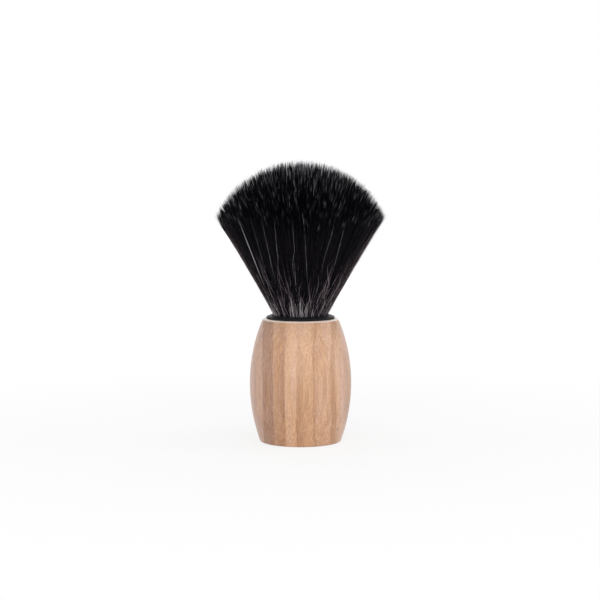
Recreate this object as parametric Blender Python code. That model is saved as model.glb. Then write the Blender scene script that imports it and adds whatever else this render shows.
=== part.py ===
"""Shaving brush: a turned wooden handle with a glued-in ring knot of synthetic fibre.

Run it from Blender's text editor, or with blender --background --python part.py.
Sizes are in metres, +Z is up, and the origin is the centre of the flat base.
"""

import math
import random

import bmesh
import bpy
from mathutils import Vector
from mathutils.geometry import delaunay_2d_cdt

# Fit between pieces that seat on each other
SEAT_GAP = 0.0003

# Fibre root, which sets the size of the ring and so of the socket and the neck
ROOT_RADIUS = 0.0094
ROOT_COLLAR_HEIGHT = 0.0012
ROOT_FOOT_HEIGHT = 0.0010
ROOT_SINK = 0.0005

# Fibres: loft is the free length over the ring, bloom the radius of the open head
KNOT_LOFT = 0.05725
BLOOM_RADIUS = 0.0318
DOME_HEIGHT = 0.0200
FIBRE_ROOT_POINTS = 200
FIBRE_ROOT_FILL = 0.55
FIBRE_SWELL = 1.9
FIBRE_SWELL_AT = 0.80
FIBRE_BOW = 0.0004
FIBRE_RAGGEDNESS = 0.0012

# Thread that binds the fibre root
THREAD_DIAMETER = 0.0007
THREAD_PITCH = 0.0012
THREAD_TURNS = 4
THREAD_POINTS_PER_TURN = 24

# Resin plug: a neck up in the bore, and a head too wide to pull through it
PLUG_NECK_HEIGHT = 0.0015
PLUG_HEAD_HEIGHT = 0.0025
PLUG_LIP = 0.0005

# Ring: a bead on top of the wood, whose crest falls outwards, and a skirt down in the socket
RING_WALL = 0.0012
RING_BEAD_HEIGHT = 0.0013
RING_MOUTH_ANGLE = math.radians(32)
RING_CREST_WIDTH = 0.00205
RING_CREST_FALL = 0.0008
RING_MOUTH_ROUND = 0.0004
RING_BEAD_ROUND = 0.0006
RING_FOOT_ROUND = 0.0002
RING_SKIRT_ROUND = 0.0003
GROOVE_COUNT = 3
GROOVE_DEPTH = 0.0003
GROOVE_WIDTH = 0.0008
GROOVE_SPACING = 0.0022

# Glue in the socket
GLUE_WALL = 0.0004
GLUE_FLOOR = 0.0012
GLUE_RISE = 0.0110

# Handle: the neck carries the ring, the belly swells past the neck, the base tucks in again
HANDLE_HEIGHT = 0.04655
NECK_LEDGE = 0.00124
BELLY_HEIGHT = 0.0222
BELLY_SWELL = 0.0050
BASE_TUCK = 0.00395
NECK_EDGE_ROUND = 0.0010
BASE_EDGE_ROUND = 0.0010
SOCKET_EDGE_ROUND = 0.0004

# Facets
TURN_STEPS = 60
ROUND_STEPS = 3
BARREL_STEPS = 8
ROOT_STEPS = 48
MERGE_DISTANCE = 0.000001
INSIDE_RIM = 1  # keeps only the triangles inside the closed rim
SMOOTH_ANGLE = math.radians(35)
GOLDEN_ANGLE = math.pi * (3 - math.sqrt(5))
FIBRE_SEED = 7

# Radii, from the fibre root outwards
bore_radius = ROOT_RADIUS + SEAT_GAP
pocket_radius = bore_radius + PLUG_LIP
skirt_radius = bore_radius + RING_WALL
glue_inner_radius = skirt_radius + SEAT_GAP
glue_outer_radius = glue_inner_radius + GLUE_WALL
socket_radius = glue_outer_radius + SEAT_GAP
mouth_radius = bore_radius + (RING_BEAD_HEIGHT + ROOT_SINK) * math.tan(RING_MOUTH_ANGLE)
bead_radius = mouth_radius + RING_CREST_WIDTH
neck_radius = bead_radius + NECK_LEDGE
belly_radius = neck_radius + BELLY_SWELL
base_radius = belly_radius - BASE_TUCK

# Heights, from the top of the wood up and down
ring_seat = HANDLE_HEIGHT + SEAT_GAP
ring_top = ring_seat + RING_BEAD_HEIGHT
fibre_top = ring_top + KNOT_LOFT
root_top = ring_seat - ROOT_SINK
thread_height = THREAD_TURNS * THREAD_PITCH
thread_slot_top = root_top - ROOT_COLLAR_HEIGHT
thread_slot_bottom = thread_slot_top - thread_height - THREAD_DIAMETER - 2 * SEAT_GAP
root_bottom = thread_slot_bottom - ROOT_FOOT_HEIGHT
plug_top = root_bottom - SEAT_GAP
plug_bottom = plug_top - PLUG_NECK_HEIGHT - PLUG_HEAD_HEIGHT
glue_bottom = plug_bottom - SEAT_GAP - GLUE_FLOOR
socket_floor = glue_bottom - SEAT_GAP


def finish(name, colour, roughness):
    """A plain material: colour in linear RGB, and roughness."""
    material = bpy.data.materials.new(name)
    material.use_nodes = True
    shader = material.node_tree.nodes["Principled BSDF"]
    shader.inputs["Base Color"].default_value = (*colour, 1)
    shader.inputs["Roughness"].default_value = roughness
    shader.inputs["Metallic"].default_value = 0
    material.diffuse_color = (*colour, 1)
    return material


def place(piece, parent, height, material):
    """Put a piece in the scene, at its height on the brush's axis."""
    bpy.context.scene.collection.objects.link(piece)
    piece.data.materials.append(material)
    piece.parent = parent
    piece.location = (0, 0, height)
    return piece


def mesh_piece(name, bm):
    """An object from a bmesh, with its round faces shaded smooth."""
    mesh = bpy.data.meshes.new(name)
    bm.to_mesh(mesh)
    bm.free()
    mesh.shade_smooth()
    mesh.set_sharp_from_angle(angle=SMOOTH_ANGLE)
    return bpy.data.objects.new(name, mesh)


def rounded(corners):
    """The points of an outline. A corner's third number, where it has one, is its rounding radius."""
    points = []
    for index, corner in enumerate(corners):
        point = Vector(corner[:2])
        if len(corner) == 2:
            points.append(point)
            continue
        to_last = Vector(corners[index - 1][:2]) - point
        to_next = Vector(corners[index + 1][:2]) - point
        half_angle = to_last.angle(to_next) / 2
        reach = min(corner[2] / math.tan(half_angle), to_last.length / 2, to_next.length / 2)
        radius = reach * math.tan(half_angle)
        to_last.normalize()
        to_next.normalize()
        centre = point + (to_last + to_next).normalized() * radius / math.sin(half_angle)
        start = point + to_last * reach - centre
        end = point + to_next * reach - centre
        for step in range(ROUND_STEPS + 1):
            points.append(centre + radius * start.slerp(end, step / ROUND_STEPS))
    return points


def turned_piece(name, outline):
    """A piece turned about Z from (radius, height) points, which run from axis to axis or form a loop."""
    bm = bmesh.new()
    points = [bm.verts.new((radius, 0, height)) for radius, height in outline]
    sides = list(zip(points, points[1:]))
    if outline[0][0] > 0:
        sides.append((points[-1], points[0]))
    edges = [bm.edges.new(side) for side in sides]
    bmesh.ops.spin(
        bm, geom=points + edges, axis=(0, 0, 1), angle=math.tau, steps=TURN_STEPS, use_merge=True
    )
    bmesh.ops.remove_doubles(bm, verts=bm.verts, dist=MERGE_DISTANCE)
    bmesh.ops.recalc_face_normals(bm, faces=bm.faces)
    return mesh_piece(name, bm)


def barrel_radius(height):
    """The handle's radius: one arc from belly to neck and one from belly to base, tangent at the belly."""
    if height > BELLY_HEIGHT:
        rise, inset = HANDLE_HEIGHT - BELLY_HEIGHT, BELLY_SWELL
    else:
        rise, inset = BELLY_HEIGHT, BASE_TUCK
    arc = (rise**2 + inset**2) / (2 * inset)
    return belly_radius - arc + math.sqrt(arc**2 - (height - BELLY_HEIGHT) ** 2)


def handle():
    """The turned wooden barrel, with its blind socket."""
    upper = HANDLE_HEIGHT - BELLY_HEIGHT
    heights = [HANDLE_HEIGHT - upper * step / BARREL_STEPS for step in range(1, BARREL_STEPS)]
    heights += [BELLY_HEIGHT * (1 - step / BARREL_STEPS) for step in range(BARREL_STEPS)]
    corners = [
        (0, socket_floor),
        (socket_radius, socket_floor),
        (socket_radius, HANDLE_HEIGHT, SOCKET_EDGE_ROUND),
        (neck_radius, HANDLE_HEIGHT, NECK_EDGE_ROUND),
        *[(barrel_radius(height), height) for height in heights],
        (base_radius, 0, BASE_EDGE_ROUND),
        (0, 0),
    ]
    return turned_piece("handle", rounded(corners))


def handle_adhesive():
    """The cup of cured glue round the ring's skirt and under the plug, from its own underside up."""
    corners = [
        (0, GLUE_FLOOR),
        (glue_inner_radius, GLUE_FLOOR),
        (glue_inner_radius, GLUE_RISE),
        (glue_outer_radius, GLUE_RISE),
        (glue_outer_radius, 0),
        (0, 0),
    ]
    return turned_piece("handle_adhesive", corners)


def knot_ring():
    """The plastic ring, from the underside of its bead: flared mouth, bead, grooved skirt and plug pocket."""
    bottom = plug_bottom - ring_seat
    pocket_top = bottom + PLUG_HEAD_HEIGHT + SEAT_GAP
    corners = [
        (bore_radius, -ROOT_SINK),
        (mouth_radius, RING_BEAD_HEIGHT, RING_MOUTH_ROUND),
        (bead_radius, RING_BEAD_HEIGHT - RING_CREST_FALL, RING_BEAD_ROUND),
        (bead_radius, 0, RING_FOOT_ROUND),
        (skirt_radius, 0),
    ]
    for index in range(GROOVE_COUNT):
        middle = -GROOVE_SPACING * (index + 1)
        corners += [
            (skirt_radius, middle + GROOVE_WIDTH / 2),
            (skirt_radius - GROOVE_DEPTH, middle),
            (skirt_radius, middle - GROOVE_WIDTH / 2),
        ]
    corners += [
        (skirt_radius, bottom, RING_SKIRT_ROUND),
        (pocket_radius, bottom),
        (pocket_radius, pocket_top),
        (bore_radius, pocket_top),
    ]
    return turned_piece("knot_ring", rounded(corners))


def root_plug():
    """The resin plug, from its underside: its head fills the ring's pocket, its neck the bore."""
    head_radius = pocket_radius - SEAT_GAP
    top = PLUG_HEAD_HEIGHT + PLUG_NECK_HEIGHT
    corners = [
        (0, top),
        (ROOT_RADIUS, top),
        (ROOT_RADIUS, PLUG_HEAD_HEIGHT),
        (head_radius, PLUG_HEAD_HEIGHT),
        (head_radius, 0),
        (0, 0),
    ]
    return turned_piece("root_plug", corners)


def least_gap(points, diameter, points_per_turn):
    """The least gap of a wound tube to itself, between points at least half a turn apart."""
    apart = points_per_turn // 2
    distances = [
        (first - second).length
        for index, first in enumerate(points)
        for second in points[index + apart :]
    ]
    return min(distances) - diameter


def binding_thread():
    """The thread wound round the fibre root, from the middle of its lowest turn, with straight ends."""
    coil_radius = ROOT_RADIUS - THREAD_DIAMETER / 2
    count = THREAD_TURNS * THREAD_POINTS_PER_TURN
    points = []
    for index in range(count + 1):
        angle = math.tau * index / THREAD_POINTS_PER_TURN
        height = thread_height * index / count
        points.append(Vector((coil_radius * math.cos(angle), coil_radius * math.sin(angle), height)))
    start_way = (points[0] - points[1]).normalized()
    end_way = (points[-1] - points[-2]).normalized()
    points.insert(0, points[0] + start_way * THREAD_DIAMETER)
    points.append(points[-1] + end_way * THREAD_DIAMETER)
    gap = least_gap(points, THREAD_DIAMETER, THREAD_POINTS_PER_TURN)
    print(f"binding_thread: least gap to itself {gap * 1000:.2f} mm")

    curve = bpy.data.curves.new("binding_thread", "CURVE")
    curve.dimensions = "3D"
    curve.bevel_depth = THREAD_DIAMETER / 2
    curve.bevel_resolution = 1
    curve.use_fill_caps = True
    spline = curve.splines.new("POLY")
    spline.points.add(len(points) - 1)
    for spot, point in zip(spline.points, points):
        spot.co = (*point, 1)
    return bpy.data.objects.new("binding_thread", curve)


def root_triangles():
    """A disc of the root's size, cut into triangles between points laid out like seeds in a sunflower."""
    rim = []
    for step in range(ROOT_STEPS):
        angle = math.tau * step / ROOT_STEPS
        rim.append(Vector((math.cos(angle), math.sin(angle))) * ROOT_RADIUS)
    seeds = []
    for index in range(FIBRE_ROOT_POINTS):
        angle = GOLDEN_ANGLE * index
        radius = ROOT_RADIUS * math.sqrt((index + 0.5) / (FIBRE_ROOT_POINTS + ROOT_STEPS / 2))
        seeds.append(Vector((math.cos(angle), math.sin(angle))) * radius)
    rim_edges = [(step, (step + 1) % ROOT_STEPS) for step in range(ROOT_STEPS)]
    spots, _, triangles, *_ = delaunay_2d_cdt(rim + seeds, rim_edges, [], INSIDE_RIM, MERGE_DISTANCE)
    return spots, triangles


def fibre_tip(root, outermost):
    """The point on the dome where a fibre with this root would end: the outermost root opens to the bloom."""
    dome_radius = (BLOOM_RADIUS**2 + DOME_HEIGHT**2) / (2 * DOME_HEIGHT)
    rim_angle = math.atan2(BLOOM_RADIUS, dome_radius - DOME_HEIGHT)
    out = Vector((root.x, root.y, 0))
    angle = rim_angle * out.length / outermost
    crown = Vector((0, 0, fibre_top - root_top - dome_radius))
    return crown + dome_radius * (math.sin(angle) * out.normalized() + Vector((0, 0, math.cos(angle))))


def fibre_bundle():
    """The fibres on the bound root they grow from, with heights from the root's top face."""
    bm = bmesh.new()
    spots, triangles = root_triangles()
    verts = [bm.verts.new((spot.x, spot.y, 0)) for spot in spots]
    roots = [bm.faces.new([verts[index] for index in triangle]) for triangle in triangles]
    rim = [edge for edge in bm.edges if edge.is_boundary]

    # Root below the fibres: a collar, the slot for the thread and a foot, drawn down from the rim
    slot_radius = ROOT_RADIUS - THREAD_DIAMETER - SEAT_GAP
    levels = [
        (ROOT_RADIUS, thread_slot_top),
        (slot_radius, thread_slot_top),
        (slot_radius, thread_slot_bottom),
        (ROOT_RADIUS, thread_slot_bottom),
        (ROOT_RADIUS, root_bottom),
    ]
    for radius, height in levels:
        drawn = bmesh.ops.extrude_edge_only(bm, edges=rim)["geom"]
        rim = [item for item in drawn if isinstance(item, bmesh.types.BMEdge)]
        for vert in {vert for edge in rim for vert in edge.verts}:
            out = Vector((vert.co.x, vert.co.y, 0)).normalized() * radius
            vert.co = out + Vector((0, 0, height - root_top))
    bmesh.ops.edgeloop_fill(bm, edges=rim)

    # One fibre on each triangle of the top face: narrowed, drawn up to its widest place, then to a point
    bmesh.ops.inset_individual(bm, faces=roots, thickness=0)
    middles = [root.calc_center_median() for root in roots]
    for root, middle in zip(roots, middles):
        for vert in root.verts:
            vert.co = middle.lerp(vert.co, FIBRE_ROOT_FILL)
    shafts = bmesh.ops.extrude_discrete_faces(bm, faces=roots)["faces"]
    chance = random.Random(FIBRE_SEED)
    outermost = max(middle.length for middle in middles)
    tips = []
    for shaft, middle in zip(shafts, middles):
        way = fibre_tip(middle, outermost) - middle
        tips.append(middle + way * (1 - chance.random() * FIBRE_RAGGEDNESS / way.length))
        bow = Vector((middle.x, middle.y, 0)) * FIBRE_BOW / ROOT_RADIUS
        waist = middle.lerp(tips[-1], FIBRE_SWELL_AT) - bow
        for vert in shaft.verts:
            vert.co = waist + (vert.co - middle) * FIBRE_SWELL
    points = bmesh.ops.poke(bm, faces=shafts)["verts"]
    for point, tip in zip(points, tips):
        point.co = tip

    bmesh.ops.recalc_face_normals(bm, faces=bm.faces)
    return mesh_piece("fibre_bundle", bm)


def main():
    """Clear the scene and put the brush together on one empty."""
    for item in list(bpy.data.objects):
        bpy.data.objects.remove(item)
    brush = bpy.data.objects.new("brush", None)
    bpy.context.scene.collection.objects.link(brush)

    wood = finish("oiled wood", (0.60, 0.40, 0.28), 0.50)
    glue = finish("cured epoxy glue", (0.72, 0.62, 0.42), 0.25)
    plastic = finish("black moulded plastic", (0.012, 0.012, 0.013), 0.25)
    resin = finish("cast resin", (0.10, 0.09, 0.08), 0.30)
    cotton = finish("waxed cotton thread", (0.70, 0.66, 0.58), 0.80)
    fibre = finish("black synthetic fibre", (0.010, 0.010, 0.012), 0.45)

    place(handle(), brush, 0, wood)
    place(handle_adhesive(), brush, glue_bottom, glue)
    place(knot_ring(), brush, ring_seat, plastic)
    place(root_plug(), brush, plug_bottom, resin)
    place(binding_thread(), brush, thread_slot_bottom + SEAT_GAP + THREAD_DIAMETER / 2, cotton)
    place(fibre_bundle(), brush, root_top, fibre)


main()
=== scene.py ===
"""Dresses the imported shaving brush: turned wood, a moulded ring and a head of fine black fibre.

It is laid out as an add-on, with one operator for each piece or group of like pieces and one for the stage.
Run as a script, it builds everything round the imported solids.
"""

import math

import bpy
import numpy as np
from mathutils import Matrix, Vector


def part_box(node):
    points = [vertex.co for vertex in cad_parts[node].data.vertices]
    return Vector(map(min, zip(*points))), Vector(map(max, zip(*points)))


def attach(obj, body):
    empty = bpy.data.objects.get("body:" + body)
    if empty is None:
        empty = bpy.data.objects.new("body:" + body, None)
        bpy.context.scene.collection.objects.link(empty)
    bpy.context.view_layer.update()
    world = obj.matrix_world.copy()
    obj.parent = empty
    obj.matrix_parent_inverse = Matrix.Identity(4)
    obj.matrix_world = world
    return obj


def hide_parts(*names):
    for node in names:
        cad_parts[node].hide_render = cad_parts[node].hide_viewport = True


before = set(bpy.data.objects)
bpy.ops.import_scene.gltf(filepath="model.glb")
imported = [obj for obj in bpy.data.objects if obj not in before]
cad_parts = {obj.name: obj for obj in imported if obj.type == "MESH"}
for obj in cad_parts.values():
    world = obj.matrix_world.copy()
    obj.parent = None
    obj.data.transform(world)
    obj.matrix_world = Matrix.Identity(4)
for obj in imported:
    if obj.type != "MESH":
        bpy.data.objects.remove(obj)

bl_info = {
    "name": "Shaving Brush",
    "version": (1, 0, 0),
    "blender": (4, 5, 0),
    "location": "3D View > Sidebar > Brush",
    "description": "Builds a shaving brush with a wooden handle and a head of black fibre",
    "category": "Object",
}

MM = 0.001
WELD = 0.01 * MM
SEAT_GAP = 0.3 * MM
BEAD_GAP = 0.05 * MM
ROOT_SINK = 0.5 * MM
TIP_REACH = 1.2 * MM
SMOOTH_ANGLE = math.radians(35)
TURN_STEPS = 128
ROUND_STEPS = 6
BARREL_LEVELS = 20
GOLDEN_ANGLE = math.pi * (3 - math.sqrt(5))
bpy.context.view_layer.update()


def linear(code):
    """The linear colour of an sRGB hex code."""
    shares = [int(code[place : place + 2], 16) / 255 for place in (0, 2, 4)]
    return [s / 12.92 if s <= 0.04045 else ((s + 0.055) / 1.055) ** 2.4 for s in shares]


def length(name, words, default):
    """A size that the user can change."""
    return bpy.props.FloatProperty(
        name=name, description=words, default=default, unit="LENGTH", precision=4
    )


def number(name, words, default):
    """A count that the user can change."""
    return bpy.props.IntProperty(name=name, description=words, default=default, min=1)


def colour(name, words, code):
    """A colour that the user can change, given as an sRGB hex code."""
    return bpy.props.FloatVectorProperty(
        name=name, description=words, default=linear(code), subtype="COLOR", min=0, max=1
    )


class HandleSettings(bpy.types.PropertyGroup):
    """The turned handle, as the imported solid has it."""

    height: length("Height", "From the flat base to the top of the wood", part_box("handle")[1].z)
    belly_radius: length("Belly radius", "Where the barrel is widest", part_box("handle")[1].x)
    belly_height: length("Belly height", "Height of the widest place", 22.2 * MM)
    neck_tuck: length("Neck tuck", "How far the neck is inside the belly", 5.0 * MM)
    base_tuck: length("Base tuck", "How far the base is inside the belly", 3.95 * MM)
    neck_round: length("Neck edge", "Rounding of the top edge", 1.0 * MM)
    base_round: length("Base edge", "Rounding of the bottom edge", 1.0 * MM)
    socket_round: length("Socket edge", "Rounding of the edge of the bore", 0.4 * MM)
    socket_radius: length("Socket radius", "Bore for the knot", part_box("handle_adhesive")[1].x + SEAT_GAP)
    socket_floor: length("Socket floor", "Bottom of the bore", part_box("handle_adhesive")[0].z - SEAT_GAP)
    early_wood: colour("Early wood", "Pale part of a growth ring", "CEA27D")
    early_blush: colour("Early blush", "Pale part of a pinkish growth ring", "CDA691")
    late_wood: colour("Late wood", "Dark part of a growth ring", "9B6B49")
    late_blush: colour("Late blush", "Dark part of a pinkish growth ring", "916D58")
    # Painted highlight: this pale colour along the top edge stands in for light on the rounded rim
    rim_highlight: colour("Worn edge", "Sanded edge at the top of the wood", "F4E4D8")
    pore: colour("Pore", "Fine open vessels along the grain", "8C6248")


class RingSettings(bpy.types.PropertyGroup):
    """The plastic ring between wood and fibre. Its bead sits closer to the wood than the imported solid's."""

    seat: length("Seat", "Underside of the bead, just clear of the wood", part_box("handle")[1].z + BEAD_GAP)
    throat: length("Throat", "Where the bore starts to flare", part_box("handle")[1].z + SEAT_GAP - ROOT_SINK)
    top: length("Top", "Crest of the bead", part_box("knot_ring")[1].z)
    bottom: length("Bottom", "End of the skirt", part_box("knot_ring")[0].z)
    bead_radius: length("Bead radius", "Outside of the bead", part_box("knot_ring")[1].x)
    crest_width: length("Crest width", "From the mouth to the outside of the bead", 2.05 * MM)
    crest_fall: length("Crest fall", "How far the crest falls from the mouth outwards", 0.8 * MM)
    mouth_round: length("Mouth edge", "Rounding where the fibres come out", 0.4 * MM)
    bead_round: length("Bead edge", "Rounding of the bead's upper edge", 0.7 * MM)
    foot_round: length("Foot edge", "Rounding of the bead's lower edge", 0.3 * MM)
    skirt_round: length("Skirt edge", "Rounding of the skirt's lower edge", 0.3 * MM)
    wall: length("Wall", "Thickness of the skirt", 1.2 * MM)
    plug_lip: length("Plug lip", "How much wider the pocket is than the bore", 0.5 * MM)
    pocket_height: length("Pocket height", "Room for the head of the plug", 2.8 * MM)
    pocket_radius: length(
        "Pocket radius", "Round the head of the plug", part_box("root_plug")[1].x + SEAT_GAP
    )
    grooves: number("Grooves", "Glue grooves round the skirt", 3)
    groove_spacing: length("Groove spacing", "Between the glue grooves", 2.2 * MM)
    groove_width: length("Groove width", "Across one groove", 0.8 * MM)
    groove_depth: length("Groove depth", "Depth of one groove", 0.3 * MM)
    plastic: colour("Plastic", "Moulded body colour", "1C1C1E")


class FibreSettings(bpy.types.PropertyGroup):
    """The head of fibres."""

    count: number("Fibres", "Fibres in the head", 30000)
    tufts: number("Tufts", "Groups that tips gather in", 5500)
    locks: number("Locks", "Groups that the fibres lie in round the ring", 180)
    loose: number("Loose fibres", "Fibres on the outside that catch the light", 30)
    sheeny: number("Sheeny fibres", "Fibres round the outside whose sheen shows", 600)
    lit_tips: number("Lit tips", "Fibres whose tips catch the light", 300)
    kinked: number("Kinked fibres", "Fibres on the outside that wander on their way up", 170)
    lit_roots: number("Lit roots", "Fibres that catch the light by the ring", 90)
    root_radius: length("Root radius", "Bound root in the bore", 9.4 * MM)
    root_top: length(
        "Root top", "Where the fibres leave the root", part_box("handle")[1].z + SEAT_GAP - ROOT_SINK
    )
    root_bottom: length("Root bottom", "Height of the butt ends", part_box("fibre_bundle")[0].z)
    slot_depth: length("Slot depth", "How far the binding draws the root in", 1.0 * MM)
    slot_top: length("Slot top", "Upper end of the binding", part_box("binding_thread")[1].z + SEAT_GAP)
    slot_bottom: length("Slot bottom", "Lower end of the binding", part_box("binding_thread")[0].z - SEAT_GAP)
    spread_radius: length("Spread radius", "Outermost fibres where they leave the root", 9.15 * MM)
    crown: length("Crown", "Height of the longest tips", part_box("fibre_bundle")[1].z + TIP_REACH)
    bloom_radius: length("Bloom radius", "Radius of the open head", 32.3 * MM)
    dome_height: length("Dome height", "Rise of the dome over its rim", 20.4 * MM)
    thickness: length("Fibre thickness", "Across one fibre where it is thickest", 0.14 * MM)
    body: colour("Body", "Most of the fibres", "06050C")
    # Painted sheen: this mauve-grey by the ring stands in for light on the fibres where they leave it
    root_sheen: colour("Haze", "Fibres where they leave the ring", "B0A2AA")
    tip: colour("Tip", "Tips that catch the light", "C2C0C8")
    glint: colour("Glint", "Stretch where a loose fibre catches the light", "C4BEC2")
    # Painted light: this brownish grey on a kinked fibre's lower stretch stands in for light on it
    kink_glint: colour("Wisp", "Lower stretch of a kinked fibre", "A09196")
    stray: colour("Stray", "Stretch where a stray fibre catches the light", "F0ECEE")
    sheen: colour("Sheen", "Light that grazes the outside of the head", "E0C2C6")
    bound: colour("Bound root", "Root, set in resin", "17161A")


class InnerSettings(bpy.types.PropertyGroup):
    """The pieces inside the socket."""

    thread_radius: length("Thread radius", "Half the thickness of the binding thread", 0.35 * MM)
    winding_radius: length("Winding radius", "From the brush's axis to the middle of the thread", 9.05 * MM)
    thread_pitch: length("Thread pitch", "Rise of one turn", 1.2 * MM)
    thread_turns: number("Thread turns", "Turns round the root", 4)
    resin: colour("Resin", "Cast plug", "2C2A28")
    glue: colour("Glue", "Cured glue in the socket", "D8C79E")
    thread: colour("Thread", "Waxed thread", "C9BFA8")


class StageSettings(bpy.types.PropertyGroup):
    """Floor, light and camera."""

    camera_back: length("Camera distance", "In front of the brush's axis", 680 * MM)
    camera_height: length("Camera height", "Over the floor", 113 * MM)
    camera_side: length("Camera side", "To the right of the brush's axis", -0.2 * MM)
    aim_height: length("Aim height", "Point on the brush's axis at the middle of the picture", 53.4 * MM)
    lens: bpy.props.FloatProperty(
        name="Lens", description="Focal length in mm on a 36 mm sensor", default=109.1, unit="CAMERA"
    )
    floor_radius: length("Floor radius", "Round floor under the brush", 2000 * MM)
    floor_gap: length("Floor gap", "Between the floor and the flat base", 0.1 * MM)
    floor: colour("Floor", "Pale floor round the brush", "F4F4F4")


def add(tree, kind, inputs=(), out=0, **settings):
    """Adds a node and gives one of its outputs. An input is a value, or the output that it is linked to."""
    node = tree.nodes.new("ShaderNode" + kind)
    for name, value in settings.items():
        setattr(node, name, value)
    for name, value in inputs.items() if isinstance(inputs, dict) else enumerate(inputs):
        if isinstance(value, bpy.types.NodeSocket):
            tree.links.new(value, node.inputs[name])
        else:
            node.inputs[name].default_value = value
    return node.outputs[out]


MIX = {"out": 2, "data_type": "RGBA"}
TINT = {"out": 2, "data_type": "RGBA", "blend_type": "MULTIPLY"}

# Most of a noise pattern lies in this range
USUAL_NOISE = (0.3, 0.7)


def new_material(name):
    """A material, with its node tree and its shader."""
    material = bpy.data.materials.new(name)
    material.use_nodes = True
    return material, material.node_tree, material.node_tree.nodes["Principled BSDF"]


def in_mm(tree):
    """The place on the piece in millimetres, so that pattern sizes can be given in millimetres."""
    place = add(tree, "TexCoord", out="Object")
    return add(tree, "VectorMath", {0: place, "Scale": 1 / MM}, operation="SCALE")


def grain(tree, place, across, along, detail):
    """Noise drawn out along the handle: its usual width and length in millimetres."""
    drawn = add(tree, "VectorMath", [place, (1 / across, 1 / across, 1 / along)], operation="MULTIPLY")
    return add(tree, "TexNoise", {"Vector": drawn, "Scale": 1, "Detail": detail})


def opaque(shares):
    """A colour with full alpha."""
    return (*shares, 1)


# Growth rings across the handle. Each has the place in mm where it begins, its share of late wood there
# and at its end, its warmth, from pinkish 0 to brown 1, and the share of its late wood that it loses
# towards the top.
GROWTH_RINGS = (
    # Painted sheen, in part: this row is pinkish at the handle's left edge, where light grazes the wood
    (-20.0, 0.15, 0.35, 0.0, 0.1),
    (-13.8, 0.75, 0.80, 0.4, 0.0),
    (-9.4, 0.45, 0.70, 0.8, 0.3),
    (-5.1, 0.06, 0.05, 0.8, 0.0),
    (-0.9, 0.65, 0.25, 1.0, 0.6),
    (3.2, 0.22, 0.25, 1.0, 0.0),
    (5.3, 0.60, 0.50, 1.0, 0.0),
    (6.2, 0.25, 0.20, 0.7, 0.0),
    (11.6, 0.55, 0.55, 1.0, 0.0),
    (13.4, 0.22, 0.12, 0.6, 0.0),
    # Painted sheen: this last row is pale and pinkish at the handle's right edge, where light grazes the wood
    (15.3, 0.02, 0.00, 0.0, 0.0),
)

# In mm: the width of a ring's edge, how far it wanders, the distance of the pith, and half the rings' span
RING_EDGE = 0.4
RING_WANDER = 0.45
PITH_DISTANCE = 400
RING_SPAN = 20

# Where rings fade, as shares of the height, and how far under the top, in mm, the wood is darkened by
# painted shade under the head and its edge lightened by a painted highlight
RING_FADE = (0.3, 0.8)
TOP_SHADE_SPAN = (7, 1)
RIM_HIGHLIGHT = (0.6, 0.2)


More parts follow.
